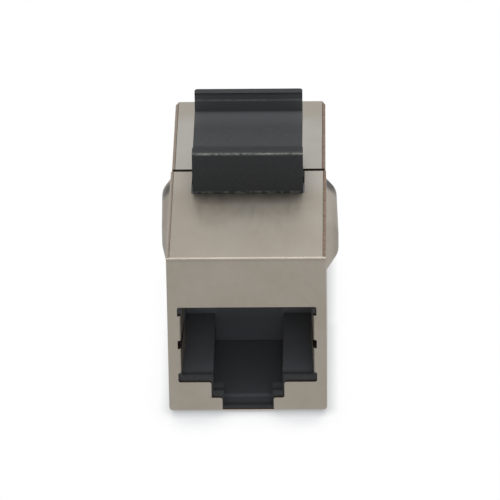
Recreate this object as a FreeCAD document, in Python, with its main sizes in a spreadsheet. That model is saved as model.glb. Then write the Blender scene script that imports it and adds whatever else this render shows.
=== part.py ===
"""Shielded RJ45 inline coupler in the keystone format, as a parametric FreeCAD document.

Millimetres. X runs across the ports, Y along the coupler with the front port facing -Y,
Z is up. The origin is the centre of the underside. Each end is described in a local
frame whose y = 0 is that end's outer face and whose +y points into the coupler; the rear
end is the same frame turned half a turn about Z.
"""
import FreeCAD, Part
import Sketcher
import os
from FreeCAD import Vector, Rotation

DIMENSIONS = [
    ("body_width", 14.5, "front shield, outside"),
    ("rear_width", 14.3, "rear shield, outside"),
    ("body_height", 16.0, "both shields, outside"),
    ("overall_length", 32.6, "face to face"),
    ("front_length", 17.56, "front shield along Y"),
    ("rear_length", 14.56, "rear shield along Y"),
    ("gauge", 0.25, "sheet thickness"),
    ("front_fold", 0.34, "outer radius of the fold over the front face"),
    ("rear_fold", 0.3, "outer radius of the fold over the rear face"),
    ("butt_gap", 0.04, "gap where the side panels butt against top and face"),
    ("relief_width", 0.1, "bend relief at each end of the fold over the face"),
    ("relief_length", 0.38, "bend relief, back from the face and down from the top"),
    ("corner_width", 0.42, "clipped rear corners of the rear shield's top, across"),
    ("corner_length", 0.95, "clipped rear corners, along Y"),
    # stepped port cut-out in the sheet
    ("cut_half", 6.36, "half width of the main cut-out"),
    ("cut_top", 11.0, "top edge"),
    ("ledge", 3.22, "ledge either side of the lever notch"),
    ("shoulder_half", 3.35, "half width of the lever notch"),
    ("shoulder", 1.58, "shoulder of the lever notch"),
    ("slot_half", 2.355, "half width of the narrow slot"),
    ("slot_foot", 0.25, "foot of the narrow slot"),
    # ground fingers bent in from the sides of the cut-out
    ("finger_face", 6.03, "half width between the fingers at their bends"),
    ("finger_pinch", 5.82, "half width between the fingers at their knees"),
    ("finger_knee", 5.2, "depth of the knee"),
    ("finger_reach", 6.0, "depth of the tip"),
    ("finger_height", 2.53, "height of one finger"),
    ("finger_low", 4.16, "foot of the lower finger"),
    ("finger_high", 7.55, "foot of the upper finger"),
    ("finger_bend", 0.33, "outer radius of the bend"),
    # pressed ground bulge on each side of the front shield
    ("bulge_front", 6.3, "foot of the bulge, front end"),
    ("bulge_back", 17.32, "foot, rear end"),
    ("bulge_low", 11.0, "foot, lower edge"),
    ("bulge_top", 15.82, "foot, upper edge"),
    ("bulge_lean", 1.3, "angle by which both crowns lean over to -X towards the rear"),
    ("bulge_rise_right", 1.34, "how far the plane of the right crown stands out at the face"),
    ("bulge_rise_left", 0.44, "the same for the left crown"),
    ("bulge_front_run_right", 1.7, "front slope of the right bulge, along Y"),
    ("bulge_front_run_left", 2.9, "the same, left"),
    ("bulge_back_run", 0.7, "steep rear slope, along Y"),
    ("bulge_low_run_right", 1.05, "lower slope of the right bulge, along Z"),
    ("bulge_low_run_left", 1.4, "the same, left"),
    ("bulge_top_run", 0.8, "steep upper slope, along Z"),
    ("bulge_round", 1.6, "radius over the crown and round its corners"),
    ("bulge_blend", 0.25, "radius where the bulge rises from the side"),
    # open notch for the latch in the rear edge of the front shield's top
    ("notch_half", 5.25, "half width"),
    ("notch_front", 12.98, "front edge"),
    # moulded jack housings
    ("cavity_half", 5.95, "half width of the plug cavity"),
    ("cavity_floor", 3.81, "floor beside the lever channel"),
    ("cavity_roof", 10.85, "roof, which the contact insert closes"),
    ("cavity_depth", 12.3, "back wall from the face"),
    ("lead_in", 0.17, "bevel round the mouth"),
    ("catch_half", 3.2, "half width of the lever notch"),
    ("catch_floor", 2.14, "shoulder that the lever's barbs hook behind"),
    ("lever_half", 2.25, "half width of the lever slot"),
    ("lever_floor", 0.6, "floor of the lever slot"),
    ("catch_depth", 1.9, "thickness of the catch wall"),
    ("channel_floor", 0.95, "floor of the lever channel behind the catch"),
    ("relief_half", 6.52, "half width of the finger reliefs"),
    ("relief_depth", 6.7, "depth of the finger reliefs"),
    ("bay_half", 5.3, "half width of the bay for the contact insert"),
    ("bay_front", 1.0, "front of the bay"),
    ("bay_roof", 13.5, "roof of the bay"),
    # contact insert and contacts
    ("deck", 11.6, "top of the comb deck"),
    ("block_front", 8.0, "front of the clamping block"),
    ("comb_front", 1.25, "front end of the comb slots"),
    ("comb_back", 12.0, "back end of the comb slots"),
    ("comb_slot", 0.62, "width of a comb slot"),
    ("pitch", 1.016, "contact pitch"),
    ("contact_count", 8, "contacts in a port"),
    ("wire_width", 0.42, "contact strip, across"),
    ("wire_gauge", 0.28, "contact strip, thickness"),
    ("wire_turn", 0.5, "radius of the turn at the front"),
    ("wire_front", 2.2, "centre of the turn"),
    ("tip_depth", 11.3, "free end from the face"),
    ("tip_height", 8.6, "free end above the underside"),
    # circuit board between the two jacks
    ("board_gauge", 1.6, "thickness"),
    ("board_width", 13.4, "across"),
    ("board_height", 13.4, "up"),
    # moulded latch
    ("latch_half", 5.06, "half width of the arm"),
    ("latch_block_half", 5.13, "half width of the catch wall"),
    ("tab_corner", 0.3, "radius of the corners of the thumb lip"),
    ("hinge_depth", 13.95, "toe bead from the front face"),
    ("hinge_height", 15.0, "toe bead above the underside"),
    ("bead_radius", 0.7, "toe bead"),
    ("bead_half", 5.0, "half length of the toe bead"),
    ("seat_play", 0.05, "clearance round the toe bead"),
    ("neck_half", 0.45, "half thickness of the neck above the bead"),
    ("neck_play", 0.13, "clearance beside the neck"),
    ("wall_front", 13.06, "catch wall from the front face"),
    ("wall_back", 14.7, "back of the catch wall"),
    ("wall_foot", 15.88, "foot of the catch wall"),
    ("crest", 20.0, "crest over the catch wall"),
    ("crest_slope", 14.75, "where the flat starts to rise towards the crest"),
    ("flat_top", 19.86, "flat top of the arm"),
    ("arm_under", 18.5, "underside of the arm"),
    ("step_one", 22.6, "first riser of the thumb lip"),
    ("step_one_top", 20.8, "height of the first step"),
    ("step_two", 22.76, "second riser"),
    ("step_two_top", 21.62, "top of the thumb lip"),
    ("tab_end", 23.64, "rear end of the thumb lip"),
]

doc = FreeCAD.newDocument("InlineCoupler")
dims = doc.addObject("Spreadsheet::Sheet", "dims")
for row, (alias, value, meaning) in enumerate(DIMENSIONS, 1):
    dims.set("A%d" % row, alias)
    dims.set("B%d" % row, str(value))
    dims.setAlias("B%d" % row, alias)
    dims.set("C%d" % row, meaning)
doc.recompute()

nodes = []


def D(text):
    """Expression text in which $name stands for a cell of the dimension sheet."""
    return text.replace("$", "dims.")


def new_body(label, end="front", across="0"):
    """A body in the local frame of one end of the coupler, moved across X if asked."""
    body = doc.addObject("PartDesign::Body", label)
    body.Label = label
    if end == "front":
        body.setExpression("Placement.Base.x", D(across))
        body.setExpression("Placement.Base.y", D("-$overall_length / 2"))
    else:
        body.Placement.Rotation = Rotation(Vector(0, 0, 1), 180)
        body.setExpression("Placement.Base.x", D("-(%s)" % across))
        body.setExpression("Placement.Base.y", D("$overall_length / 2"))
    nodes.append(body)
    return body


def sketch_on(body, role, name, height=None):
    """Sketch on one of the body's own origin planes, raised along the plane's normal."""
    plane = next(f for f in body.Origin.OriginFeatures if f.Role == role)
    sketch = body.newObject("Sketcher::SketchObject", name)
    sketch.AttachmentSupport = [(plane, "")]
    sketch.MapMode = "FlatFace"
    if height:
        sketch.setExpression("AttachmentOffset.Base.z", D(height))
    return sketch


def pin(sketch, geo, pos, x=None, y=None):
    """Locate a point of a sketch from the sketch origin by expressions."""
    point = sketch.getPoint(geo, pos)
    for kind, text, now in (("DistanceX", x, point.x), ("DistanceY", y, point.y)):
        if text is not None:
            index = sketch.addConstraint(Sketcher.Constraint(kind, -1, 1, geo, pos, now))
            sketch.setExpression("Constraints[%d]" % index, D(text))


def outline(sketch, corners):
    """Closed straight-sided outline with each corner held by the dimension sheet."""
    at = [Vector(sketch.evalExpression(D(x)), sketch.evalExpression(D(y)), 0) for x, y in corners]
    first = sketch.GeometryCount
    count = len(corners)
    for i in range(count):
        sketch.addGeometry(Part.LineSegment(at[i], at[(i + 1) % count]))
    for i in range(count):
        sketch.addConstraint(Sketcher.Constraint(
            "Coincident", first + i, 2, first + (i + 1) % count, 1))
    for i, (x, y) in enumerate(corners):
        pin(sketch, first + i, 1, x, y)
    return sketch


def box_outline(sketch, left, right, low, high):
    return outline(sketch, [(left, low), (right, low), (right, high), (left, high)])


def feature(body, kind, name, profile=None, **sizes):
    """PartDesign feature whose lengths are expressions on the sheet."""
    made = body.newObject("PartDesign::" + kind, name)
    if profile is not None:
        made.Profile = profile
    for prop, value in sizes.items():
        if isinstance(value, str) and prop not in ("Type", "SideType"):
            made.setExpression(prop, D(value))
        else:
            setattr(made, prop, value)
    return made


def edges_where(shape, test):
    """Names of the edges of a shape that pass a test."""
    return ["Edge%d" % i for i, edge in enumerate(shape.Edges, 1) if test(edge)]


def size_of(alias):
    return dims.get(alias)


def lies_at_y(edge, y):
    box = edge.BoundBox
    return abs(box.YMin - y) < 1e-6 and abs(box.YMax - y) < 1e-6


def round_edges(body, name, base, test, radius):
    """Fillet the edges of the feature base that pass the test."""
    doc.recompute()
    rounded = body.newObject("PartDesign::Fillet", name)
    rounded.Base = (base, edges_where(base.Shape, test))
    rounded.setExpression("Radius", D(radius))
    return rounded


def port_cut_out():
    """Half of the stepped port cut-out in the sheet, from the top edge down."""
    return [("$cut_half", "$cut_top"), ("$cut_half", "$ledge"), ("$shoulder_half", "$ledge"),
            ("$shoulder_half", "$shoulder"), ("$slot_half", "$shoulder"), ("$slot_half", "$slot_foot")]


def both_sides(half):
    """Outline symmetrical about X = 0 from its +X half, listed from the top down."""
    return half + [("-" + x, y) for x, y in reversed(half)]


# ---------------------------------------------------------------- folded shields
def add_fingers(body):
    """Four ground fingers, folded in from the sides of the port cut-out."""
    pads = []
    for name, foot in (("Lower", "$finger_low"), ("Upper", "$finger_high")):
        for side, sign in (("Right", ""), ("Left", "-")):
            sk = sketch_on(body, "XY_Plane", name + side + "FingerPlan", foot)
            plan = [("$cut_half + 0.1", "0"), ("$finger_face", "0"),
                    ("$finger_pinch", "$finger_knee"), ("$finger_face", "$finger_reach"),
                    ("$finger_face + $gauge", "$finger_reach"),
                    ("$finger_pinch + $gauge", "$finger_knee"),
                    ("$finger_face + $gauge", "$gauge"), ("$cut_half + 0.1", "$gauge")]
            outline(sk, [("%s(%s)" % (sign, x), y) for x, y in plan])
            pads.append(feature(body, "Pad", name + side + "Finger", sk, Length="$finger_height"))
    face, bend = size_of("finger_face"), size_of("finger_height")

    def is_bend(edge):
        box = edge.BoundBox
        return (lies_at_y(edge, 0.0) and abs(abs(box.XMin) - face) < 1e-6
                and abs(box.ZLength - bend) < 1e-6)
    return round_edges(body, "FingerBends", pads[-1], is_bend, "$finger_bend")


def own_size(side, what):
    """A size of the bulge that differs a little between the two sides."""
    return "$bulge_%s_%s" % (what, side.lower())


def lofted_bulge(body, kind, name, sign, sections):
    """Loft out of one side wall, from its foot to its leaning crown, both rectangles."""
    drawn = []
    for level, (out, front, back, low, top) in zip(("Foot", "Crown"), sections):
        sk = sketch_on(body, "YZ_Plane", name + level, "%s(%s)" % (sign, out))
        drawn.append(box_outline(sk, front, back, low, top))
    drawn[1].AttachmentOffset = FreeCAD.Placement(Vector(), Rotation(Vector(0, 1, 0), 1))
    drawn[1].setExpression("AttachmentOffset.Rotation.Angle", D("$bulge_lean * 1 deg"))
    loft = feature(body, kind, name, drawn[0], Ruled=True)
    loft.Sections = [(drawn[1], "")]
    return loft


def add_bulge(body, side, sign):
    """Pressed bulge that grounds the coupler in its panel: steep at the rear, rounded all over."""
    pillow = lofted_bulge(body, "AdditiveLoft", side + "Bulge", sign, [
        ("$body_width / 2", "$bulge_front", "$bulge_back", "$bulge_low", "$bulge_top"),
        ("$body_width / 2 + " + own_size(side, "rise"), "$bulge_front + " + own_size(side, "front_run"),
         "$bulge_back - $bulge_back_run", "$bulge_low + " + own_size(side, "low_run"),
         "$bulge_top - $bulge_top_run")])
    wall = size_of("body_width") / 2

    def reach(edge):
        """Nearest and farthest that an edge on this side lies from the plane X = 0."""
        low, high = edge.BoundBox.XMin, edge.BoundBox.XMax
        return (low, high) if sign == "" else (-high, -low)

    def over_crown(edge):
        near, far = reach(edge)
        return far > wall + 0.5 and near > wall - 1e-4

    def at_foot(edge):
        box = edge.BoundBox
        near, far = reach(edge)
        inside = (box.YMin > size_of("bulge_front") - 0.1 and box.YMax < size_of("bulge_back") + 0.1
                  and box.ZMin > size_of("bulge_low") - 0.1 and box.ZMax < size_of("bulge_top") + 0.1)
        return abs(near - wall) < 1e-4 and abs(far - wall) < 1e-4 and inside
    rounded = round_edges(body, side + "BulgeRound", pillow, over_crown, "$bulge_round")
    return round_edges(body, side + "BulgeBlend", rounded, at_foot, "$bulge_blend")


def hollow_bulge(body, side, sign):
    """The inside of the bulge, a little more than one sheet thickness within it."""
    lofted_bulge(body, "SubtractiveLoft", side + "Hollow", sign, [
        ("$body_width / 2 - $gauge - 0.02", "$bulge_front + 2 * $gauge", "$bulge_back - $gauge",
         "$bulge_low + $gauge", "$bulge_top - $gauge"),
        ("$body_width / 2 - 1.2 * $gauge + " + own_size(side, "rise"),
         "$bulge_front + 1.6 * $gauge + " + own_size(side, "front_run"),
         "$bulge_back - $bulge_back_run - 1.6 * $gauge",
         "$bulge_low + 1.6 * $gauge + " + own_size(side, "low_run"),
         "$bulge_top - $bulge_top_run - 1.6 * $gauge")])


def shield(label, end, width, length, is_front):
    """Sheet folded round one jack: face with the port cut-out, top, bottom and two sides.

    The face folds up from the underside and on over the top; the sides fold up from the
    underside and butt against the face and the top.
    """
    body = new_body(label, end)
    fold = "front_fold" if is_front else "rear_fold"
    sk = box_outline(sketch_on(body, "XZ_Plane", "OuterOutline"),
                     "-%s / 2" % width, "%s / 2" % width, "0", "$body_height")
    block = feature(body, "Pad", "OuterForm", sk, Length=length, Reversed=True)
    height = size_of("body_height")

    def is_top_fold(edge):
        return lies_at_y(edge, 0.0) and abs(edge.BoundBox.ZMin - height) < 1e-6
    round_edges(body, "TopFold", block, is_top_fold, "$" + fold)
    bulges = (("Right", ""), ("Left", "-")) if is_front else ()
    for side, sign in bulges:
        add_bulge(body, side, sign)
    sk = box_outline(sketch_on(body, "XZ_Plane", "InnerOutline", "-$gauge"),
                     "-(%s / 2 - $gauge)" % width, "%s / 2 - $gauge" % width,
                     "$gauge", "$body_height - $gauge")
    feature(body, "Pocket", "Interior", sk, Length=length)
    for side, sign in bulges:
        hollow_bulge(body, side, sign)
    sk = outline(sketch_on(body, "XZ_Plane", "PortOutline"), both_sides(port_cut_out()))
    feature(body, "Pocket", "PortCutOut", sk, Length="$gauge")
    inner = "%s / 2 - $gauge" % width
    sk = sketch_on(body, "XY_Plane", "TopButts", "$body_height")
    for sign in ("", "-"):
        box_outline(sk, "%s(%s - $butt_gap)" % (sign, inner), "%s(%s)" % (sign, inner),
                    "$relief_length", length + " + 1")
        box_outline(sk, "%s(%s - $relief_width)" % (sign, inner), "%s(%s)" % (sign, inner),
                    "-0.1", "$relief_length")
    feature(body, "Pocket", "TopSeams", sk, Length="$relief_length")
    sk = sketch_on(body, "XY_Plane", "FaceButts", "$body_height")
    for sign in ("", "-"):
        box_outline(sk, "%s(%s)" % (sign, inner), "%s(%s / 2 + 0.1)" % (sign, width),
                    "$gauge", "$gauge + $butt_gap")
    feature(body, "Pocket", "FaceSeams", sk, Length="$body_height - $gauge")
    if is_front:
        sk = box_outline(sketch_on(body, "XY_Plane", "LatchNotch", "$body_height"),
                         "-$notch_half", "$notch_half", "$notch_front", length + " + 1")
        feature(body, "Pocket", "LatchOpening", sk, Length="2 * $gauge")
    else:
        sk = sketch_on(body, "XY_Plane", "ClippedCorners", "$body_height")
        for sign in ("", "-"):
            clip = [("%s / 2 - $corner_width" % width, "-0.1"), ("%s / 2 + 0.1" % width, "-0.1"),
                    ("%s / 2 + 0.1" % width, "$corner_length"), ("%s / 2" % width, "$corner_length"),
                    ("%s / 2 - $corner_width" % width, "0")]
            outline(sk, [("%s(%s)" % (sign, x), y) for x, y in clip])
        feature(body, "Pocket", "CornerClips", sk, Length="2 * $gauge")
    add_fingers(body)
    return body


# ---------------------------------------------------------------- moulded housings
def mouth_profile(grow):
    """Half of the plug cavity's outline, grown by the lead-in bevel where asked."""
    g = " + " + grow
    return [("$cavity_half" + g, "$cavity_roof"), ("$cavity_half" + g, "$cavity_floor - " + grow),
            ("$catch_half" + g, "$cavity_floor - " + grow), ("$catch_half" + g, "$catch_floor - " + grow),
            ("$lever_half" + g, "$catch_floor - " + grow), ("$lever_half" + g, "$lever_floor - " + grow)]


def jack_housing(label, end, width, seats_latch):
    """Moulded jack: plug cavity with a lead-in, lever catch, finger reliefs, contact bay."""
    body = new_body(label, end)
    depth = "$overall_length / 2 - $board_gauge / 2"
    sk = box_outline(sketch_on(body, "XZ_Plane", "Outline", "-$gauge"),
                     "-(%s / 2 - $gauge)" % width, "%s / 2 - $gauge" % width,
                     "$gauge", "$body_height - $gauge")
    feature(body, "Pad", "Block", sk, Length=depth + " - $gauge", Reversed=True)
    sk = outline(sketch_on(body, "XZ_Plane", "Mouth", "-$gauge"), both_sides(mouth_profile("0")))
    feature(body, "Pocket", "CatchWall", sk, Length="$catch_depth - $gauge")
    wide = outline(sketch_on(body, "XZ_Plane", "BevelFront", "-$gauge"),
                   both_sides(mouth_profile("$lead_in")))
    tight = outline(sketch_on(body, "XZ_Plane", "BevelBack", "-($gauge + $lead_in)"),
                    both_sides(mouth_profile("0")))
    bevel = feature(body, "SubtractiveLoft", "LeadIn", wide, Ruled=True)
    bevel.Sections = [(tight, "")]
    sk = outline(sketch_on(body, "XZ_Plane", "CavityOutline", "-$catch_depth"), both_sides(
        [("$cavity_half", "$cavity_roof"), ("$cavity_half", "$cavity_floor"),
         ("$catch_half", "$cavity_floor"), ("$catch_half", "$channel_floor")]))
    feature(body, "Pocket", "Cavity", sk, Length="$cavity_depth - $catch_depth")
    sk = box_outline(sketch_on(body, "XZ_Plane", "ReliefOutline", "-$gauge"),
                     "-$relief_half", "$relief_half", "$finger_low - 0.12",
                     "$finger_high + $finger_height + 0.12")
    feature(body, "Pocket", "FingerReliefs", sk, Length="$relief_depth - $gauge")
    sk = box_outline(sketch_on(body, "XZ_Plane", "BayOutline", "-$bay_front"),
                     "-$bay_half", "$bay_half", "$cavity_roof", "$bay_roof")
    feature(body, "Pocket", "ContactBay", sk, Length=depth)
    if seats_latch:
        sk = sketch_on(body, "YZ_Plane", "SeatOutline")
        centre = Vector(size_of("hinge_depth"), size_of("hinge_height"), 0)
        sk.addGeometry(Part.Circle(centre, Vector(0, 0, 1), size_of("bead_radius")))
        pin(sk, 0, 3, "$hinge_depth", "$hinge_height")
        index = sk.addConstraint(Sketcher.Constraint("Radius", 0, size_of("bead_radius")))
        sk.setExpression("Constraints[%d]" % index, D("$bead_radius + $seat_play"))
        feature(body, "Pocket", "BeadSeat", sk, Length="2 * ($bead_half + $seat_play)", Midplane=True)
        sk = box_outline(sketch_on(body, "XY_Plane", "NeckSlot", "$body_height"),
                         "-($bead_half + $seat_play)", "$bead_half + $seat_play",
                         "$hinge_depth - $neck_half - $neck_play",
                         "$hinge_depth + $neck_half + $neck_play")
        feature(body, "Pocket", "NeckOpening", sk, Length="$body_height - $hinge_height")
    return body


def contact_insert(label, end):
    """Moulded comb: a slotted deck over the cavity and a block clamped on the strips."""
    body = new_body(label, end)
    back = "$overall_length / 2 - $board_gauge / 2"
    sk = outline(sketch_on(body, "YZ_Plane", "SideOutline"),
                 [("$bay_front", "$cavity_roof"), (back, "$cavity_roof"), (back, "$bay_roof"),
                  ("$block_front", "$bay_roof"), ("$block_front", "$deck"), ("$bay_front", "$deck")])
    feature(body, "Pad", "DeckAndBlock", sk, Length="2 * $bay_half", Midplane=True)
    row_start = "(1 - $contact_count) / 2 * $pitch"
    sk = box_outline(sketch_on(body, "XY_Plane", "CombSlot", "$deck"),
                     row_start + " - $comb_slot / 2", row_start + " + $comb_slot / 2",
                     "$comb_front", "$comb_back")
    slot = feature(body, "Pocket", "Comb", sk, Length="$deck - $cavity_roof")
    sk = box_outline(sketch_on(body, "XZ_Plane", "GrooveOutline", "-$block_front"),
                     row_start + " - $wire_width / 2", row_start + " + $wire_width / 2",
                     "$deck", "$deck + $wire_gauge")
    groove = feature(body, "Pocket", "StripGroove", sk, Type="ThroughAll")
    x_axis = next(f for f in body.Origin.OriginFeatures if f.Role == "X_Axis")
    row = feature(body, "LinearPattern", "EightWays", Occurrences=size_of("contact_count"),
                  Length="($contact_count - 1) * $pitch")
    row.Originals = [slot, groove]
    row.Direction = (x_axis, [""])
    body.Tip = row
    return body


def contact(label, end, place):
    """Spring strip: along the deck, round the front turn and back down into the cavity."""
    body = new_body(label, end, "(%d - ($contact_count - 1) / 2) * $pitch" % place)
    lay = "$deck + $wire_gauge / 2"
    root = "$overall_length / 2 - $board_gauge / 2"
    level = size_of("deck") + size_of("wire_gauge") / 2
    turn, front = size_of("wire_turn"), size_of("wire_front")
    path = sketch_on(body, "YZ_Plane", "StripPath")
    start = Vector(path.evalExpression(D(root)), level, 0)
    tip = Vector(size_of("tip_depth"), size_of("tip_height"), 0)
    centre = Vector(front, level - turn, 0)
    path.addGeometry(Part.LineSegment(start, Vector(front, level, 0)))
    path.addGeometry(Part.Arc(Vector(front, level, 0), Vector(front - turn, level - turn, 0),
                              centre + Vector(-0.2 * turn, -0.98 * turn, 0)))
    path.addGeometry(Part.LineSegment(centre + Vector(-0.2 * turn, -0.98 * turn, 0), tip))
    path.addConstraint(Sketcher.Constraint("Horizontal", 0))
    pin(path, 0, 1, root, lay)
    top_end, low_end = (2, 1) if path.getPoint(1, 2).y > path.getPoint(1, 1).y else (1, 2)
    path.addConstraint(Sketcher.Constraint("Tangent", 0, 2, 1, top_end))
    path.addConstraint(Sketcher.Constraint("Tangent", 1, low_end, 2, 1))
    index = path.addConstraint(Sketcher.Constraint("Radius", 1, turn))
    path.setExpression("Constraints[%d]" % index, D("$wire_turn"))
    pin(path, 0, 2, "$wire_front")
    pin(path, 2, 2, "$tip_depth", "$tip_height")
    section = box_outline(sketch_on(body, "XZ_Plane", "StripSection", "-(%s)" % root),
                          "-$wire_width / 2", "$wire_width / 2", "$deck", "$deck + $wire_gauge")
    doc.recompute()
    strip = feature(body, "AdditivePipe", "Strip", section)
    strip.Spine = (path, ["Edge1", "Edge2", "Edge3"])
    strip.Transition = "Transformed"
    return body


# ---------------------------------------------------------------- board and latch
def circuit_board():
    body = new_body("circuit_board")
    sk = box_outline(sketch_on(body, "XZ_Plane", "BoardOutline",
                               "-($overall_length / 2 - $board_gauge / 2)"),
                     "-$board_width / 2", "$board_width / 2",
                     "($body_height - $board_height) / 2", "($body_height + $board_height) / 2")
    feature(body, "Pad", "Board", sk, Length="$board_gauge", Reversed=True)
    return body


def latch():
    """Moulded clip: toe bead, upright catch wall, arm over the rear shield, thumb lip."""
    body = new_body("latch")
    arm = outline(sketch_on(body, "YZ_Plane", "ArmOutline"), [
        ("$crest_slope", "$arm_under"), ("$step_one + 0.6", "$arm_under"),
        ("$tab_end - 0.35", "$arm_under + 0.25"), ("$tab_end", "$flat_top"),
        ("$tab_end", "$step_two_top"), ("$step_two", "$step_two_top"),
        ("$step_two", "$step_one_top"), ("$step_one", "$step_one_top"),
        ("$step_one", "$flat_top"), ("$crest_slope", "$flat_top")])
    feature(body, "Pad", "Arm", arm, Length="2 * $latch_half", Midplane=True)
    wall = outline(sketch_on(body, "YZ_Plane", "WallOutline"), [
        ("$wall_front", "$wall_foot"), ("$wall_back", "$wall_foot"),
        ("$wall_back", "$arm_under - 0.35"), ("$crest_slope + 0.1", "$arm_under"),
        ("$crest_slope + 0.1", "$flat_top"), ("$crest_slope", "$flat_top"),
        ("$wall_front + 0.5", "$crest"), ("$wall_front + 0.12", "$crest"),
        ("$wall_front", "$crest - 0.12")])
    clip = feature(body, "Pad", "CatchWall", wall, Length="2 * $latch_block_half", Midplane=True)
    end, side = size_of("tab_end"), size_of("latch_half")

    def is_tab_corner(edge):
        return lies_at_y(edge, end) and abs(abs(edge.BoundBox.XMin) - side) < 1e-6 and edge.BoundBox.ZLength > 1
    round_edges(body, "TabCorners", clip, is_tab_corner, "$tab_corner")
    neck = box_outline(sketch_on(body, "YZ_Plane", "NeckOutline"),
                       "$hinge_depth - $neck_half", "$hinge_depth + $neck_half",
                       "$hinge_height", "$wall_foot + 0.2")
    feature(body, "Pad", "Neck", neck, Length="2 * $bead_half", Midplane=True)
    bead = sketch_on(body, "YZ_Plane", "BeadOutline")
    bead.addGeometry(Part.Circle(Vector(size_of("hinge_depth"), size_of("hinge_height"), 0),
                                 Vector(0, 0, 1), size_of("bead_radius")))
    pin(bead, 0, 3, "$hinge_depth", "$hinge_height")
    index = bead.addConstraint(Sketcher.Constraint("Radius", 0, size_of("bead_radius")))
    bead.setExpression("Constraints[%d]" % index, D("$bead_radius"))
    feature(body, "Pad", "ToeBead", bead, Length="2 * $bead_half", Midplane=True)
    return body


shield("front_shield", "front", "$body_width", "$front_length", True)
shield("rear_shield", "rear", "$rear_width", "$rear_length", False)
jack_housing("front_jack_housing", "front", "$body_width", True)
jack_housing("rear_jack_housing", "rear", "$rear_width", False)
for port in ("front", "rear"):
    contact_insert(port + "_contact_carrier", port)
    for place in range(size_of("contact_count")):
        contact("%s_contact_%d" % (port, place + 1), port, place)
circuit_board()
latch()
doc.recompute()

for item in doc.Objects:
    if any(word in item.State for word in ("Invalid", "Error")):
        raise RuntimeError("%s (%s) did not compute: %s" % (item.Name, item.Label, item.State))
os.makedirs("parts", exist_ok=True)
for body in nodes:
    shape = body.Shape
    if shape.isNull() or not shape.isValid() or len(shape.Solids) != 1:
        raise RuntimeError("bad shape: " + body.Label)
    shape.exportStep(os.path.join("parts", body.Label + ".step"))
    box = shape.BoundBox
    print("%-24s %9.3f mm3  x %6.2f..%6.2f  y %6.2f..%6.2f  z %6.2f..%6.2f" % (
        body.Label, shape.Volume, box.XMin, box.XMax, box.YMin, box.YMax, box.ZMin, box.ZMax))
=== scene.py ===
# %% [markdown]
# # A shielded RJ45 inline coupler
# Two plug sockets sit back to back in a shell of thin nickel-plated sheet. A black
# moulded latch stands on the shell and snaps the coupler into a panel. The exact solids
# come from the CAD frame. This lesson gives them edges, finishes, light and a camera.

# %% Load the frame
import math
import bmesh
import bpy
from mathutils import Matrix, Vector


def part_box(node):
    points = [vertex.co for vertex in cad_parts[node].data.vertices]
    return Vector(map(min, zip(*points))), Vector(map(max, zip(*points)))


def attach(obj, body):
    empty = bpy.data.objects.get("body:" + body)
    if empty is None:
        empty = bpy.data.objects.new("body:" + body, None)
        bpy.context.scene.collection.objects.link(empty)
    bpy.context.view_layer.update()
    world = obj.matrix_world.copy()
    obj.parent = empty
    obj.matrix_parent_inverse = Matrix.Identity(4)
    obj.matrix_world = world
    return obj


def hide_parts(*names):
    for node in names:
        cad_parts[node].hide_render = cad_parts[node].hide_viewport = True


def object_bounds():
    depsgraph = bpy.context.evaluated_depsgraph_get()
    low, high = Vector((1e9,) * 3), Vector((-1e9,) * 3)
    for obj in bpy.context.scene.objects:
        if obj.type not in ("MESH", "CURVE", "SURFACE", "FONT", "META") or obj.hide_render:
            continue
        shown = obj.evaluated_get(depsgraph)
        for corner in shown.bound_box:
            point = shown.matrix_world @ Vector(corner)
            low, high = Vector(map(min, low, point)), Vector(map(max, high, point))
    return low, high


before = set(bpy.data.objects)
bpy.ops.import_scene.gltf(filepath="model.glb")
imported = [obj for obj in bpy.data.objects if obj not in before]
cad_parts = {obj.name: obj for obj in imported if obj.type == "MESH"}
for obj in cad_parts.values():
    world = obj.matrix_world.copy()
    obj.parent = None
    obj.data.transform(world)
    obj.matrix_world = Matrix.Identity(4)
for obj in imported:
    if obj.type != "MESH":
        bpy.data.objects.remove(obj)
cad_size = [[float(v) for v in corner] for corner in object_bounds()]
MM = 0.001
print("nodes:", len(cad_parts), "box:", cad_size)

# %% [markdown]
# ## Places on the coupler
# Bends, wear and tarnish belong to places on the coupler, so they are measured from its
# own faces, which the frame gives. The front port looks towards -Y and the rear port
# towards +Y, and the latch is up. The two pressed bulges make the front shield's box
# wider than its sides, so its half width comes from the rear shield, which is a tenth of
# a millimetre narrower on each side.

# %% Places from the frame
def corners(node):
    """The lowest and the highest corner of a CAD node."""
    return [Vector(corner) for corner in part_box(node)]


GAUGE = 0.25 * MM
front_low, front_high = corners("front_shield")
_, rear_high = corners("rear_shield")
front_face, inner_end, rear_face = front_low.y, front_high.y, rear_high.y
shell_top = rear_high.z
half_width = {"front_shield": rear_high.x + 0.10 * MM, "rear_shield": rear_high.x}
front_side = half_width["front_shield"]
print("shell:", round(2 * front_side / MM, 2), "mm wide,", round(shell_top / MM, 2), "mm high")

# %% [markdown]
# ## The viewpoint
# The coupler is seen from the front, from about 28 degrees above and a hair to the right.
# A short lens close by would splay the long edges. A long lens far away keeps them almost
# parallel, as a catalogue shows small parts. The camera is also turned by less than a
# degree about its own axis.

# %% Camera
camera_data = bpy.data.cameras.new("long_lens")
camera = bpy.data.objects.new("long_lens", camera_data)
bpy.context.collection.objects.link(camera)
camera_data.sensor_width = 36.0
camera_data.lens = 401.8
camera_data.clip_start = 0.01
camera_data.clip_end = 10.0
looking = Vector((-0.01867, 0.88591, -0.46348)).normalized()
roll = math.radians(-0.92)
turn = looking.to_track_quat("-Z", "Y").to_matrix().to_4x4() @ Matrix.Rotation(roll, 4, "Z")
stand = Vector((9.831 * MM, front_face - 447.732 * MM, 251.127 * MM))
camera.matrix_world = Matrix.Translation(stand) @ turn
bpy.context.scene.camera = camera
middle = Vector((0, 0, shell_top / 2))
print("lens", round(camera_data.lens, 1), "mm, distance", round((stand - middle).length, 3), "m")

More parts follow.
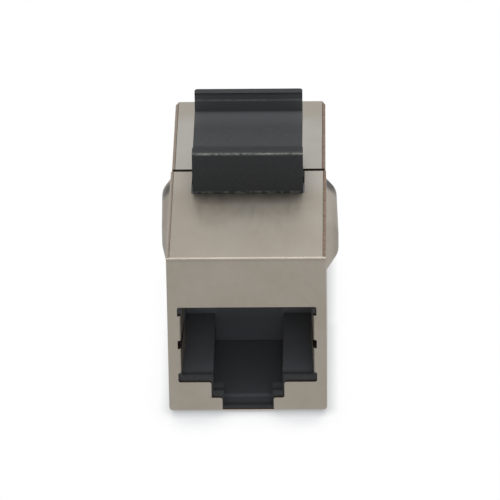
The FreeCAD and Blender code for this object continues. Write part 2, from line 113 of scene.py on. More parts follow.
# %% [markdown]
# ## Noise for finishes
# Each finish of the coupler is a Principled shader whose colour, roughness and bump come
# from noise. An image would stretch over the folds, so the noise reads Object
# coordinates, which stay with the piece. The coupler is only 32 mm long and Blender works
# in metres, so noise scales run to thousands.

# %% Noise
def new_finish(name):
    """A material with its tree and its Principled shader."""
    material = bpy.data.materials.new(name)
    material.use_nodes = True
    tree = material.node_tree
    shader = next(n for n in tree.nodes if n.type == "BSDF_PRINCIPLED")
    return material, tree, shader


def own_place(tree):
    """The place on the piece, in the piece's own coordinates."""
    return tree.nodes.new("ShaderNodeTexCoord").outputs["Object"]


def remap(tree, value, start, stop, low=0.0, high=1.0, kind="LINEAR"):
    """low..high while a value runs from start to stop."""
    span = tree.nodes.new("ShaderNodeMapRange")
    span.interpolation_type = kind
    for name, end in zip(("From Min", "From Max", "To Min", "To Max"), (start, stop, low, high)):
        span.inputs[name].default_value = end
    tree.links.new(value, span.inputs["Value"])
    return span.outputs["Result"]


def speckle(tree, scale, low, high, stretch=(1, 1, 1)):
    """Noise whose middle range, 0.3 to 0.7, becomes low..high."""
    mapping = tree.nodes.new("ShaderNodeMapping")
    mapping.inputs["Scale"].default_value = stretch
    noise = tree.nodes.new("ShaderNodeTexNoise")
    noise.inputs["Scale"].default_value = scale
    noise.inputs["Detail"].default_value = 3.0
    tree.links.new(own_place(tree), mapping.inputs["Vector"])
    tree.links.new(mapping.outputs["Vector"], noise.inputs["Vector"])
    return remap(tree, noise.outputs["Fac"], 0.3, 0.7, low, high)


print("noise ready")

# %% [markdown]
# ## Masks for worn places
# Wear, dirt and dullness sit in places, not everywhere. Painting them by hand would need
# an image, so each place is a mask instead: a value from 0 to 1 that eases in along an
# axis or around a point. Masks are multiplied where all must hold, and the largest is
# taken where any will do.

# %% Masks
def combine(tree, operation, *values):
    """One math step on numbers or outputs."""
    node = tree.nodes.new("ShaderNodeMath")
    node.operation = operation
    for socket, value in zip(node.inputs, values):
        if isinstance(value, (int, float)):
            socket.default_value = value
        else:
            tree.links.new(value, socket)
    return node.outputs["Value"]


def all_of(tree, mask, *others):
    """The product of several masks."""
    for other in others:
        mask = combine(tree, "MULTIPLY", mask, other)
    return mask


def any_of(tree, mask, *others):
    """The largest of several masks."""
    for other in others:
        mask = combine(tree, "MAXIMUM", mask, other)
    return mask


def along(tree, axis):
    """The piece's own coordinate along one axis."""
    split = tree.nodes.new("ShaderNodeSeparateXYZ")
    tree.links.new(own_place(tree), split.inputs["Vector"])
    return split.outputs[axis]


def ease(tree, value, start, stop, low=0.0, high=1.0):
    """low..high while a value runs from start to stop, eased at both ends."""
    # A smooth step wants its start below its stop, so a falling one swaps both ends.
    ends = (start, stop, low, high) if start < stop else (stop, start, high, low)
    return remap(tree, value, *ends, kind="SMOOTHSTEP")


def close_to(tree, place, inner, outer, across=(1, 1, 1)):
    """1 within inner of a place, 0 beyond outer. A 0 in `across` makes the place a line."""
    flat = tree.nodes.new("ShaderNodeVectorMath")
    flat.operation = "MULTIPLY"
    flat.inputs[1].default_value = across
    reach = tree.nodes.new("ShaderNodeVectorMath")
    reach.operation = "DISTANCE"
    reach.inputs[1].default_value = place
    tree.links.new(own_place(tree), flat.inputs[0])
    tree.links.new(flat.outputs["Vector"], reach.inputs[0])
    return ease(tree, reach.outputs["Value"], outer, inner)


print("masks ready")

# %% [markdown]
# ## Tones and grain
# A mask picks between two tones, and a tone may itself be the result of an earlier mask,
# so places are laid over each other one by one. Fine grain is a bump only: its height is
# far too small to model, and it shows in the gloss alone.

# %% Tones and bump
def two_tones(tree, factor, first, second):
    """A colour between two tones or colour outputs, chosen by a 0..1 factor."""
    mix = tree.nodes.new("ShaderNodeMix")
    mix.data_type = "RGBA"
    for name, tone in (("A", first), ("B", second)):
        if isinstance(tone, tuple):
            mix.inputs[name].default_value = (*tone, 1)
        else:
            tree.links.new(tone, mix.inputs[name])
    tree.links.new(factor, mix.inputs["Factor"])
    return mix.outputs["Result"]


def dimple(tree, shader, height, strength, depth):
    """Bump from a height value, on the shader's normal."""
    bump = tree.nodes.new("ShaderNodeBump")
    bump.inputs["Strength"].default_value = strength
    bump.inputs["Distance"].default_value = depth
    tree.links.new(height, bump.inputs["Height"])
    tree.links.new(bump.outputs["Normal"], shader.inputs["Normal"])


print("tones ready")

# %% [markdown]
# ## Nickel plate
# The shell is dull-bright nickel over copper alloy. It is a metal, so its colour is the
# tint of its reflections, and its roughness decides how far the latch's dark reflection
# spreads before it melts away. Slow clouds change the tint a little, and short marks
# along the coupler, from the press and from handling, change the gloss.

# %% Plated sheet
def plated_sheet(name, warm, cool, smooth, rough):
    """Nickel whose tint drifts between two tones. The caller links the tint."""
    material, tree, shader = new_finish(name)
    shader.inputs["Metallic"].default_value = 1.0
    clouds = speckle(tree, 260.0, 0.0, 1.0)
    marks = speckle(tree, 1500.0, smooth, rough, stretch=(1, 0.25, 1))
    grain = speckle(tree, 5200.0, 0.0, 1.0)
    tree.links.new(marks, shader.inputs["Roughness"])
    dimple(tree, shader, grain, strength=0.10, depth=0.002 * MM)
    return material, tree, shader, two_tones(tree, clouds, warm, cool)


print("plating ready")

# %% [markdown]
# ## The front shield's plate
# It isn't the same all over. Painted shade darkens the top on the -X side, as if the
# light fell from +X, while the face and the sides keep their tint. The inner end, next to
# the rear shield, is paler and cooler, more so towards +X. The bulges carry painted light
# and shade: the -X bulge is darker than the sides, and the +X one is painted paler at its
# foot and darker over its crown, where it turns away. Each place is one mask, laid over
# the tint before it.

# %% Front plate
front_plate, tree, shader, tint = plated_sheet(
    "front_plate", warm=(0.348, 0.311, 0.262), cool=(0.374, 0.344, 0.297), smooth=0.47, rough=0.53)
x, y, z = (along(tree, axis) for axis in "XYZ")
# Painted shade: the top darkens towards -X, as if the light fell from +X.
clear_of_painted_shade = any_of(
    tree,
    ease(tree, x, -front_side + 0.15 * MM, -front_side + 3.45 * MM),
    ease(tree, y, front_face + 0.40 * MM, front_face + 0.05 * MM),
    ease(tree, z, shell_top - 0.15 * MM, shell_top - 0.40 * MM))
tint = two_tones(tree, clear_of_painted_shade, (0.325, 0.290, 0.245), tint)
# Paler and cooler towards the inner end, more so towards +X.
paler_inner_end = all_of(
    tree,
    ease(tree, y, inner_end - 5.76 * MM, inner_end - 1.76 * MM),
    ease(tree, x, -5 * MM, 5 * MM, 0.5, 1.0))
tint = two_tones(tree, paler_inner_end, tint, (0.414, 0.388, 0.350))
# Painted light and shade on the bulges: the -X one darker, the +X one paler at its foot and darker over
# its crown.
bulge_light_and_shade = (
    # side, where the tone starts and is full in mm beyond the side, tone
    (-1, -0.05, 0.35, (0.295, 0.262, 0.222)),
    (1, -0.01, 0.09, (0.405, 0.370, 0.318)),
    (1, 0.35, 1.10, (0.325, 0.293, 0.250)),
)
for side, start, full, tone in bulge_light_and_shade:
    out = ease(tree, x, side * (front_side + start * MM), side * (front_side + full * MM))
    tint = two_tones(tree, out, tint, tone)
print("plate:", front_plate.name, "with", len(bulge_light_and_shade), "tones on the bulges")

# %% [markdown]
# ## Painted shade and bare copper on the front shield
# Painted shade darkens the upper foot of each bulge, close to the latch, where the bulge
# meets the side. Only points are needed for that, because the shade fades out around
# them. Under the slot for the plug's lever just a narrow strip of sheet is left, and it
# shows bare copper.

# %% Painted shade and copper
shaded_bulge_feet = (
    (front_side + 0.37 * MM, inner_end - 2.06 * MM, shell_top - 0.50 * MM),
    (-front_side - 0.15 * MM, inner_end - 2.86 * MM, shell_top - 0.34 * MM),
)
off_middle = combine(tree, "ABSOLUTE", x)
on_bulge = ease(tree, off_middle, front_side - 0.02 * MM, front_side + 0.07 * MM, 0.0, 0.85)
# Painted shade: a dark tone at the upper foot of each bulge, near the latch.
for foot in shaded_bulge_feet:
    bulge_foot_shade = all_of(tree, close_to(tree, foot, 0.30 * MM, 1.7 * MM), on_bulge)
    tint = two_tones(tree, bulge_foot_shade, tint, (0.048, 0.045, 0.041))
SLOT_HALF = 2.355 * MM
under_slot = all_of(
    tree,
    ease(tree, off_middle, SLOT_HALF + 0.045 * MM, SLOT_HALF - 0.015 * MM),
    ease(tree, z, GAUGE + 0.02 * MM, GAUGE - 0.01 * MM),
    ease(tree, y, front_face + 0.80 * MM, front_face + 0.50 * MM))
tint = two_tones(tree, under_slot, tint, (0.62, 0.45, 0.31))
tree.links.new(tint, shader.inputs["Base Color"])
print("grime at", len(shaded_bulge_feet), "feet, nodes in the plate:", len(tree.nodes))

# %% [markdown]
# ## The rear shield's plate
# The rear shield is smoother and greyer than the front one, and darker and warmer
# towards its outer end. The noise added to the mask gives that change a ragged edge.

# %% Rear plate
rear_plate, tree, shader, tint = plated_sheet(
    "rear_plate", warm=(0.408, 0.390, 0.350), cool=(0.424, 0.410, 0.375), smooth=0.27, rough=0.33)
near_end = ease(tree, along(tree, "Y"), rear_face - 5.7 * MM, rear_face - 2.1 * MM)
darker_warmer_end = combine(tree, "ADD", near_end, speckle(tree, 420.0, -0.25, 0.25))
darker_warmer_end = combine(tree, "MINIMUM", combine(tree, "MAXIMUM", darker_warmer_end, 0.0), 1.0)
tree.links.new(two_tones(tree, darker_warmer_end, tint, (0.365, 0.332, 0.280)), shader.inputs["Base Color"])
print("plate:", rear_plate.name)

# %% [markdown]
# ## Bare copper edges
# Shearing the sheet leaves its edges unplated, so every cut edge shows brown copper. It
# dulls in places, which the second tone gives. On the -X side there is nickel over the
# outer half of the edge, as a blunt shear drags it along, and a thin film on the rest.

# %% Cut edges
cut_copper, tree, shader = new_finish("cut_copper")
shader.inputs["Metallic"].default_value = 1.0
dull_patches = speckle(tree, 1700.0, 0.0, 1.0)
brown = two_tones(tree, dull_patches, (0.27, 0.190, 0.135), (0.16, 0.110, 0.080))
x = along(tree, "X")
dragged = any_of(
    tree,
    ease(tree, x, -front_side + 0.15 * MM, -front_side + 0.09 * MM),
    ease(tree, x, 1.0 * MM, -1.0 * MM, 0.0, 0.4))
tree.links.new(two_tones(tree, dragged, brown, (0.33, 0.295, 0.25)), shader.inputs["Base Color"])
tree.links.new(speckle(tree, 3000.0, 0.38, 0.55), shader.inputs["Roughness"])
print("edge finish:", cut_copper.name)

# %% [markdown]
# ## Black moulding
# The sockets, comb inserts and latch are black glass-filled plastic with a fine satin
# surface. The colour hardly shows; what the eye reads is the weak, wide gloss.

# %% Black moulding
def satin_black(name, dark, light, smooth, rough, gloss):
    """Black plastic whose tone is grained. The caller links the tone."""
    material, tree, shader = new_finish(name)
    shader.inputs["IOR"].default_value = 1.5
    shader.inputs["Specular IOR Level"].default_value = gloss
    grain = speckle(tree, 3800.0, 0.0, 1.0)
    tree.links.new(speckle(tree, 1500.0, smooth, rough), shader.inputs["Roughness"])
    dimple(tree, shader, grain, strength=0.15, depth=0.01 * MM)
    return material, tree, shader, two_tones(tree, grain, dark, light)


print("black plastic ready")

# %% [markdown]
# ## The sockets' black
# Inside the front port the moulding comes out an even grey. Less light gets there than to
# the mouth, so a single black would sink away with depth. The tone is raised instead, as
# painted light: from about a millimetre behind the face, more so high up, and most beside
# the lever notch. The rear port, at +Y, stays plain black.

# %% Sockets and inserts
def socket_black(name, painted_fill):
    """Satin black with painted light that pales it deeper in the front port."""
    material, tree, shader, tone = satin_black(
        name, dark=(0.046, 0.047, 0.050), light=(0.054, 0.055, 0.058),
        smooth=0.55, rough=0.65, gloss=0.15)
    y = along(tree, "Y")
    # Painted light: the tone is raised deeper in the front port, more so high up and beside the lever
    # notch.
    inside = all_of(
        tree,
        ease(tree, y, front_face + 0.4 * MM, front_face + 1.4 * MM),
        ease(tree, y, 1.0 * MM, -1.0 * MM))
    high_up = ease(tree, along(tree, "Z"), 3.0 * MM, 7.5 * MM)
    beside_notch = ease(tree, combine(tree, "ABSOLUTE", along(tree, "X")), 2.9 * MM, 3.3 * MM)
    pale, palest = (tuple(times * c for c in painted_fill) for times in (2.3, 4.0))
    painted_light = two_tones(tree, high_up, painted_fill, two_tones(tree, beside_notch, pale, palest))
    tree.links.new(two_tones(tree, inside, tone, painted_light), shader.inputs["Base Color"])
    return material


jack_black = socket_black("jack_black", (0.105, 0.112, 0.125))
insert_black = socket_black("insert_black", (0.038, 0.041, 0.046))
print("mouldings:", jack_black.name, insert_black.name)

# %% [markdown]
# ## Gold and board
# The contact strips are gold plated, and gold is a metal like the nickel, only smoother.
# The board between the jacks is laminate under a green solder mask, of which only a line
# shows from above and behind the latch. Both are small, so two tones are enough.

# %% Gold and board
gold_plate, tree, shader = new_finish("gold_plate")
shader.inputs["Metallic"].default_value = 1.0
gold = two_tones(tree, speckle(tree, 2500.0, 0.0, 1.0), (0.78, 0.55, 0.20), (0.86, 0.64, 0.28))
tree.links.new(gold, shader.inputs["Base Color"])
tree.links.new(speckle(tree, 4000.0, 0.16, 0.26), shader.inputs["Roughness"])

board_green, tree, shader = new_finish("board_green")
green = two_tones(tree, speckle(tree, 1200.0, 0.0, 1.0), (0.012, 0.075, 0.030), (0.020, 0.100, 0.042))
tree.links.new(green, shader.inputs["Base Color"])
tree.links.new(speckle(tree, 2000.0, 0.30, 0.42), shader.inputs["Roughness"])
print("also:", gold_plate.name, board_green.name)

# %% [markdown]
# ## Dressing a solid
# A CAD node arrives as loose triangles. To round its edges or paint single faces we need
# a tidy mesh, so we copy the node, weld the copy, and dissolve the flat areas into whole
# faces. The copy then replaces the node in the picture while the node keeps its collision.

# %% Dressing helpers
def tidy_copy(node):
    """A welded copy of a CAD node's mesh with its flat areas joined up."""
    weld, flat_within = 0.0005 * MM, math.radians(0.6)
    mesh = bmesh.new()
    mesh.from_mesh(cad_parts[node].data)
    bmesh.ops.remove_doubles(mesh, verts=mesh.verts, dist=weld)
    bmesh.ops.dissolve_limit(mesh, angle_limit=flat_within, verts=mesh.verts, edges=mesh.edges)
    return mesh


def finished_piece(name, mesh, materials, node, body):
    """Turn a bmesh into a piece that stands for a CAD node."""
    data = bpy.data.meshes.new(name)
    mesh.to_mesh(data)
    mesh.free()
    piece = bpy.data.objects.new(name, data)
    bpy.context.collection.objects.link(piece)
    for material in materials:
        data.materials.append(material)
    data.shade_smooth()
    data.set_sharp_from_angle(angle=math.radians(40))
    weighted = piece.modifiers.new("weighted_normals", "WEIGHTED_NORMAL")
    weighted.keep_sharp = True
    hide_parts(node)
    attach(piece, body)
    print(name, "faces:", len(data.polygons))


print("dressing ready")

# %% [markdown]
# ## Which faces are cut edges
# A cut edge of sheet is a long face as narrow as the sheet is thick. Twice the area over
# the perimeter is about that width, which tells cut edges from the broad faces. The
# facets of a fold are narrow too, but they are tilted, and a cut edge is square on.

# %% Cut edges of sheet
PLATED, CUT = 0, 1


def is_cut_edge(face):
    """Narrow as the gauge, with some play for short edges, and square on to an axis."""
    width = 2 * face.calc_area() / max(face.calc_perimeter(), 1e-9)
    square_on = max(abs(c) for c in face.normal) > 0.99999
    return square_on and width < 1.15 * GAUGE


def paint_cut_edges(mesh):
    """Give each face its material and return how many are cut edges."""
    mesh.normal_update()
    for face in mesh.faces:
        face.material_index = CUT if is_cut_edge(face) else PLATED
    return sum(face.material_index == CUT for face in mesh.faces)


print("a cut edge is", round(GAUGE / MM, 2), "mm wide")

# %% [markdown]
# ## Folds round the underside
# The sheet is bent up from the underside to the face and the sides, so its bottom edges
# are round. The bends are cut rather than bevelled: a few planes, each tangent to the
# bend, slice the corner off and each slice is closed with a flat face. A slice passes
# cleanly through the cut-outs near the corner, where a bevel would tangle.

# %% Bottom folds
BEND_SLICES = 6


def slice_off(mesh, place, out):
    """Cut away what lies beyond a plane and close the cut with plated faces."""
    whole = mesh.verts[:] + mesh.edges[:] + mesh.faces[:]
    cut = bmesh.ops.bisect_plane(mesh, geom=whole, dist=1e-8, plane_co=place, plane_no=out,
                                 clear_outer=True)
    rim = [g for g in cut["geom_cut"] if isinstance(g, bmesh.types.BMEdge)]
    for face in bmesh.ops.edgenet_fill(mesh, edges=rim, mat_nr=PLATED)["faces"]:
        face.material_index = PLATED
        face.normal_update()
        if face.normal.dot(out) < 0:
            face.normal_flip()


def round_off(mesh, corner, side, radius):
    """Slice a bottom corner round. `side` points out of the wall that meets the floor there."""
    corner, side, down = Vector(corner), Vector(side), Vector((0, 0, -1))
    centre = corner - radius * (side + down)
    for step in range(1, BEND_SLICES + 1):
        turn = math.radians(90) * step / (BEND_SLICES + 1)
        out = side * math.cos(turn) + down * math.sin(turn)
        slice_off(mesh, centre + radius * out, out)


def open_rims(mesh):
    """How many edges don't join exactly two faces. A closed skin has none."""
    return sum(1 for edge in mesh.edges if not edge.is_manifold)


print("a bend takes", BEND_SLICES, "slices")

# %% [markdown]
# ## Corners of the cut-outs
# A punch has slightly worn corners, so the corners of the port are a little round. They
# are the short edges that cross the face plate where two cut edges meet. A bevel suits
# them. Its clamp has to stay off, because it measures the whole mesh, and the narrow
# relief slits elsewhere would shrink every corner to nothing. The width of the cut faces
# is tested instead, so that a corner is left square where there is no room for it.

# %% Punched corners
PUNCH_RADIUS = 0.19 * MM


def soften_punched_corners(mesh, face):
    """Round the corners of the port in the plate at y = face and return how many there are."""
    def wide_enough(side):
        return side.material_index == CUT and side.calc_area() > 2.1 * PUNCH_RADIUS * GAUGE

    def crosses_face_plate(edge):
        near = all(abs(v.co.y - face) < 1.1 * GAUGE for v in edge.verts)
        return near and abs(edge.calc_length() - GAUGE) < 0.02 * GAUGE

    least_turn = math.radians(68.75)
    punched = [edge for edge in mesh.edges
               if len(edge.link_faces) == 2 and crosses_face_plate(edge)
               and all(wide_enough(side) for side in edge.link_faces)
               and edge.calc_face_angle() > least_turn]
    bmesh.ops.bevel(mesh, geom=punched, offset=PUNCH_RADIUS, offset_type="OFFSET", affect="EDGES",
                    segments=3, profile=0.5, material=-1, clamp_overlap=False)
    return len(punched)


print("punched corners:", round(PUNCH_RADIUS / MM, 2), "mm")

# %% [markdown]
# ## Corner reliefs
# At each end of the fold over the face the flat sheet has a narrow slit, so that it can't
# tear when it is bent. Bending presses the slit nearly shut, which the solid doesn't
# show. The slit's inner wall is moved outwards until only a hairline is left.

# %% Corner reliefs
RELIEF_WIDTH, RELIEF_DEPTH, HAIRLINE = 0.10 * MM, 0.50 * MM, 0.005 * MM


def close_reliefs(mesh, half, top):
    """Press the slits at both top corners of the face shut, down to a hairline."""
    sheet_inside = half - GAUGE
    slit, shut = sheet_inside - RELIEF_WIDTH, sheet_inside - HAIRLINE
    for side in (-1, 1):
        wall = [v for v in mesh.verts
                if abs(side * v.co.x - slit) < HAIRLINE and v.co.z > top - RELIEF_DEPTH]
        bmesh.ops.translate(mesh, verts=wall, vec=(side * (shut - slit), 0, 0))
        print("relief wall at", round(side * slit / MM, 2), "mm moved:", len(wall), "corners")


print("reliefs:", round(RELIEF_WIDTH / MM, 2), "mm wide before they close")

# %% [markdown]
# ## The shields
# Both shields are dressed the same way: cut edges are found while every face is still
# square, then reliefs close and corners are rounded, and the bends come last, because
# they cut through everything near the underside. The face bends a little wider than the
# sides. A count of open rims shows that each skin stayed closed.

# %% Shields
SIDE_BEND, FACE_BEND = 0.70 * MM, 0.72 * MM


def dress_shield(node, plate, outer_end):
    """Dress a shield whose face looks towards outer_end, -1 at the front and 1 at the rear."""
    mesh = tidy_copy(node)
    low, high = corners(node)
    face = low.y if outer_end < 0 else high.y
    half = half_width[node]
    cut_edges = paint_cut_edges(mesh)
    close_reliefs(mesh, half, high.z)
    punched = soften_punched_corners(mesh, face)
    for side in (1, -1):
        round_off(mesh, (side * half, 0, low.z), (side, 0, 0), SIDE_BEND)
    round_off(mesh, (0, face, low.z), (0, outer_end, 0), FACE_BEND)
    print(node, "cut edges:", cut_edges, "punched corners:", punched, "open rims:", open_rims(mesh))
    finished_piece(node + "_skin", mesh, [plate, cut_copper], node, "coupler_body")


dress_shield("front_shield", front_plate, -1)
dress_shield("rear_shield", rear_plate, 1)

# %% [markdown]
# ## The latch's black
# From the catch wall at the front, the latch runs back as a flat arm to a thumb lip with
# a small step in its riser. Its tones here are painted light and shade. The flat is
# painted palest next to the riser, against the riser's shade, and painted shade keeps the
# seat right behind the crest dark. The riser faces forward and is painted a little paler
# than the plain black, and the top of the lip is painted darker against the light from
# above.

# %% Latch tones
latch_low, latch_high = corners("latch")
wall_front, lip_top = latch_low.y, latch_high.z
riser, flat, crest = latch_high.y - 1.04 * MM, lip_top - 1.76 * MM, lip_top - 1.62 * MM
step_top = lip_top - 0.82 * MM
latch_black, tree, shader, tone = satin_black(
    "latch_black", dark=(0.036, 0.038, 0.041), light=(0.042, 0.044, 0.047),
    smooth=0.52, rough=0.60, gloss=0.18)
y, z = along(tree, "Y"), along(tree, "Z")
on_flat = all_of(
    tree,
    ease(tree, z, flat - 0.14 * MM, flat - 0.08 * MM),
    ease(tree, z, crest + 0.06 * MM, crest + 0.02 * MM))
by_riser = ease(tree, y, riser - 4.10 * MM, riser - 0.50 * MM)
behind_crest = all_of(
    tree,
    ease(tree, y, wall_front + 2.34 * MM, wall_front + 1.64 * MM),
    ease(tree, y, wall_front + 0.39 * MM, wall_front + 0.74 * MM))
on_top = ease(tree, z, lip_top - 0.17 * MM, lip_top - 0.04 * MM)
on_riser = all_of(
    tree,
    ease(tree, y, riser - 0.35 * MM, riser - 0.20 * MM),
    ease(tree, z, lip_top - 0.17 * MM, lip_top - 0.32 * MM),
    ease(tree, z, flat - 0.16 * MM, flat - 0.06 * MM))
# Painted light and shade on the latch, one tone for each place.
latch_light_and_shade = (
    (all_of(tree, on_flat, by_riser), (0.080, 0.083, 0.088)),
    (all_of(tree, behind_crest, on_flat), (0.018, 0.019, 0.021)),
    (on_top, (0.026, 0.027, 0.029)),
    (on_riser, (0.056, 0.059, 0.063)),
)
for mask, painted_tone in latch_light_and_shade:
    tone = two_tones(tree, mask, tone, painted_tone)
print("latch tones:", len(latch_light_and_shade), "on", latch_black.name)

# %% [markdown]
# ## Worn and lit lines on the latch
# Pale broken lines run across the clip. On the crest, which a panel slides over, and at
# the foot of the catch wall they are wear and a painted highlight of the edge; on the edge
# of the step in the riser the line is a painted highlight. Each is a mask around a line
# across the latch, broken by noise. Numbers below 0 in the noise leave gaps in the line.

# %% Worn and lit lines
worn_and_lit_lines = (
    # place (y, z), inner and outer reach in mm, tone, noise scale and range
    ((wall_front + 0.18 * MM, crest - 0.02 * MM), (0.05, 0.20), (0.25, 0.25, 0.225), (2400.0, -0.1, 1.0)),
    ((riser + 0.16 * MM, step_top + 0.06 * MM), (0.04, 0.14), (0.15, 0.15, 0.155), (1500.0, 0.4, 1.0)),
    ((wall_front, shell_top + 0.10 * MM), (0.05, 0.20), (0.16, 0.155, 0.14), (1800.0, -0.6, 1.0)),
)
# Wear and painted highlights: pale lines on the crest and the wall's foot, a painted highlight on the
# step.
for place, (inner, outer), pale, breaks in worn_and_lit_lines:
    line = close_to(tree, (0, *place), inner * MM, outer * MM, across=(0, 1, 1))
    broken = any_of(tree, all_of(tree, line, speckle(tree, *breaks)), 0.0)
    tone = two_tones(tree, broken, tone, pale)
tree.links.new(tone, shader.inputs["Base Color"])
print("worn lines:", len(worn_and_lit_lines), "on", latch_black.name)

# %% [markdown]
# ## The latch's edges
# A moulded clip has a small radius on every edge, which catches a thin line of light. A
# bevel of the sharp edges of the welded copy gives it. The clamp stays on here, so that
# radii never run into each other on the thin lip.

# %% Latch
LATCH_RADIUS = 0.07 * MM


def round_sharp_edges(mesh, width, least_turn=25):
    """Bevel every edge that turns more than least_turn degrees and return how many do."""
    sharp = [edge for edge in mesh.edges
             if len(edge.link_faces) == 2 and edge.calc_face_angle() > math.radians(least_turn)]
    bmesh.ops.bevel(mesh, geom=sharp, offset=width, offset_type="OFFSET", affect="EDGES",
                    segments=2, profile=0.5, material=-1, clamp_overlap=True, loop_slide=True)
    return len(sharp)


latch_mesh = tidy_copy("latch")
print("latch edges rounded:", round_sharp_edges(latch_mesh, LATCH_RADIUS))
finished_piece("latch_clip_moulding", latch_mesh, [latch_black], "latch", "latch_clip")

# %% [markdown]
# ## The parts that keep their solids
# The sockets, inserts, board and contacts already have the right shape, so they only get
# their finishes, on the material slots of the CAD objects.

# %% Finishes for the CAD nodes
finishes = {"circuit_board": board_green}
for end in ("front", "rear"):
    finishes[end + "_jack_housing"] = jack_black
    finishes[end + "_contact_carrier"] = insert_black
    for place in range(1, 9):
        finishes["%s_contact_%d" % (end, place)] = gold_plate
for node, material in finishes.items():
    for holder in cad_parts[node].material_slots:
        holder.material = material
print("finished nodes:", len(finishes))

# %% [markdown]
# ## Shade under the coupler
# The coupler lies on white. A floor lit like the coupler would come out grey, so the
# floor shows a plain white that darkens only close to the object. Two ambient occlusion
# nodes give its soft shadow: a narrow one all round the contact, a little deeper on the
# side away from the key light, and a wider one in front, because most light comes from
# above and behind. Each looks for the object along its own direction.

# %% Floor shade
def seen_directly(tree):
    """1 for camera, glossy and transmission rays, 0 for the rest."""
    path = tree.nodes.new("ShaderNodeLightPath")
    kinds = ("Camera", "Glossy", "Transmission")
    return any_of(tree, *(path.outputs["Is %s Ray" % kind] for kind in kinds))


def soft_shadow(tree, reach, towards, dark, clear, deepest):
    """Shade of the floor where the object hides a hemisphere that leans `towards`."""
    lean = tree.nodes.new("ShaderNodeCombineXYZ")
    for socket, value in zip(lean.inputs, Vector(towards).normalized()):
        socket.default_value = value
    hidden = tree.nodes.new("ShaderNodeAmbientOcclusion")
    hidden.samples = 12
    hidden.inputs["Distance"].default_value = reach
    tree.links.new(lean.outputs["Vector"], hidden.inputs["Normal"])
    shade = tree.nodes.new("ShaderNodeValToRGB")
    shadow, lit = shade.color_ramp.elements
    shadow.position, lit.position = dark, clear
    shadow.color = (deepest, 1.01 * deepest, 1.025 * deepest, 1)
    lit.color = (1, 1, 1, 1)
    tree.links.new(hidden.outputs["AO"], shade.inputs["Fac"])
    return shade.outputs["Color"]


print("shade ready")

# %% [markdown]
# ## The floor's white
# The camera sees the white with its shade. The plated sheet mirrors a slightly greyer
# floor without the shade, because it would draw a dark band low on the face. To every
# other ray the floor is plain and diffuse, so it lights the coupler like paper.

# %% Floor white
floor_white = bpy.data.materials.new("floor_white")
floor_white.use_nodes = True
tree = floor_white.node_tree
tree.nodes.clear()
contact = soft_shadow(tree, reach=1.2 * MM, towards=(-0.16, 0.0, 0.97), dark=0.0, clear=1.0, deepest=0.46)
forward = soft_shadow(tree, reach=6.0 * MM, towards=(0.0, 0.94, 0.34), dark=0.50, clear=0.75, deepest=0.78)
shaded = tree.nodes.new("ShaderNodeMix")
shaded.data_type = "RGBA"
shaded.blend_type = "MULTIPLY"
shaded.inputs["Factor"].default_value = 1.0
tree.links.new(contact, shaded.inputs["A"])
tree.links.new(forward, shaded.inputs["B"])
mirrored = tree.nodes.new("ShaderNodeLightPath").outputs["Is Glossy Ray"]
white = two_tones(tree, mirrored, shaded.outputs["Result"], (0.97, 0.97, 0.97))
shown = tree.nodes.new("ShaderNodeEmission")
tree.links.new(white, shown.inputs["Color"])
paper = tree.nodes.new("ShaderNodeBsdfDiffuse")
paper.inputs["Color"].default_value = (0.8, 0.8, 0.8, 1)
shown_or_paper = tree.nodes.new("ShaderNodeMixShader")
out = tree.nodes.new("ShaderNodeOutputMaterial")
tree.links.new(seen_directly(tree), shown_or_paper.inputs["Fac"])
tree.links.new(paper.outputs["BSDF"], shown_or_paper.inputs[1])
tree.links.new(shown.outputs["Emission"], shown_or_paper.inputs[2])
tree.links.new(shown_or_paper.outputs["Shader"], out.inputs["Surface"])
print("floor finish:", floor_white.name, len(tree.nodes), "nodes")

# %% [markdown]
# ## The floor itself
# One large flat sheet reaches past every edge of the view. It lies a hundredth of a
# millimetre under the coupler, so that the two never share a plane and flicker.

# %% Floor
floor_height = cad_size[0][2] - 0.01 * MM
sheet = bmesh.new()
bmesh.ops.create_grid(sheet, x_segments=1, y_segments=1, size=1.5)
bmesh.ops.translate(sheet, verts=sheet.verts, vec=(0, 0, floor_height))
floor_data = bpy.data.meshes.new("floor")
sheet.to_mesh(floor_data)
sheet.free()
floor_data.materials.append(floor_white)
floor = bpy.data.objects.new("floor", floor_data)
bpy.context.collection.objects.link(floor)
print("floor at", round(floor_height / MM, 3), "mm")

# %% [markdown]
# ## The tent
# The studio is a white tent. What the metal shows depends on the height that it looks
# towards: nearly white low down behind the coupler, brighter higher up where the tent's
# roof is lit, and duller in front, which gives the dark line under the highlight of a
# fold. Matt surfaces only get an even fill, so the tent's pattern is for glossy rays.

# %% World
world = bpy.data.worlds.new("tent")
world.use_nodes = True
bpy.context.scene.world = world
tree = world.node_tree
tree.nodes.clear()


def backdrop(colour=None, strength=1.0):
    """A background of one colour output, or plain white."""
    node = tree.nodes.new("ShaderNodeBackground")
    node.inputs["Color"].default_value = (1, 1, 1, 1)
    node.inputs["Strength"].default_value = strength
    if colour:
        tree.links.new(colour, node.inputs["Color"])
    return node.outputs["Background"]


def brightness_by_height(up, stops):
    """Grey level along the upward part of the direction, 0 level and 1 straight up."""
    ramp = tree.nodes.new("ShaderNodeValToRGB")
    ramp.color_ramp.interpolation = "EASE"
    while len(ramp.color_ramp.elements) < len(stops):
        ramp.color_ramp.elements.new(0.5)
    for element, (place, grey) in zip(ramp.color_ramp.elements, stops):
        element.position = place
        element.color = (grey, grey, grey, 1)
    tree.links.new(up, ramp.inputs["Fac"])
    return ramp.outputs["Color"]


def choose(factor, otherwise, chosen):
    """One background or another."""
    node = tree.nodes.new("ShaderNodeMixShader")
    for socket, output in zip(node.inputs, (factor, otherwise, chosen)):
        tree.links.new(output, socket)
    return node.outputs["Shader"]


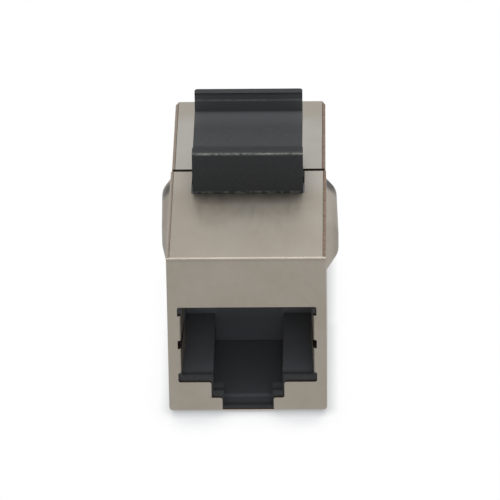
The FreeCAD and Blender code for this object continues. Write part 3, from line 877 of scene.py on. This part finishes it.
direction = tree.nodes.new("ShaderNodeTexCoord").outputs["Generated"]
axes = tree.nodes.new("ShaderNodeSeparateXYZ")
tree.links.new(direction, axes.inputs["Vector"])
behind = brightness_by_height(axes.outputs["Z"], [(0.0, 0.85), (0.45, 0.90), (0.70, 1.05), (1.0, 1.05)])
in_front = (0.75, 0.75, 0.75)
walls = two_tones(tree, remap(tree, axes.outputs["Y"], -0.35, 0.15), in_front, behind)
path = tree.nodes.new("ShaderNodeLightPath")
mirrored_or_fill = choose(path.outputs["Is Glossy Ray"], backdrop(strength=0.52), backdrop(walls))
seen_or_rest = choose(path.outputs["Is Camera Ray"], mirrored_or_fill, backdrop())
tree.links.new(seen_or_rest, tree.nodes.new("ShaderNodeOutputWorld").inputs["Surface"])
print("tent ready:", len(tree.nodes), "nodes")

# %% [markdown]
# ## The lamps
# One large soft box above and slightly behind the coupler is the key light. A small lamp
# would burn hard spots into the metal, and the box melts them into wide sheens. A weak
# card in front sends a little light into the port. Glossy rays leave the card out, so it
# draws no square on the face.

# %% Soft box and card
def soft_box(name, width, depth_y, radiance, at, target):
    """Area light whose surface has the given brightness."""
    light = bpy.data.lights.new(name, "AREA")
    light.shape = "RECTANGLE"
    light.size, light.size_y = width, depth_y
    light.energy = radiance * math.pi * width * depth_y
    lamp = bpy.data.objects.new(name, light)
    bpy.context.collection.objects.link(lamp)
    lamp.location = at
    lamp.rotation_euler = (Vector(target) - Vector(at)).to_track_quat("-Z", "Y").to_euler()
    return lamp


overhead = soft_box("overhead_box", 0.55, 0.34, radiance=2.6, at=(0, 0.14, 0.55), target=(0, 0, 0.01))
card = soft_box("front_card", 0.20, 0.20, radiance=1.8, at=(0.02, -0.36, 0.19), target=(0, -0.01, 0.008))
card.visible_glossy = False
print("soft box", round(overhead.data.energy, 2), "W, card", round(card.data.energy, 3), "W")

# %% [markdown]
# ## View
# The standard view shows colours as they are written.

# %% View
bpy.context.scene.view_settings.view_transform = "Standard"
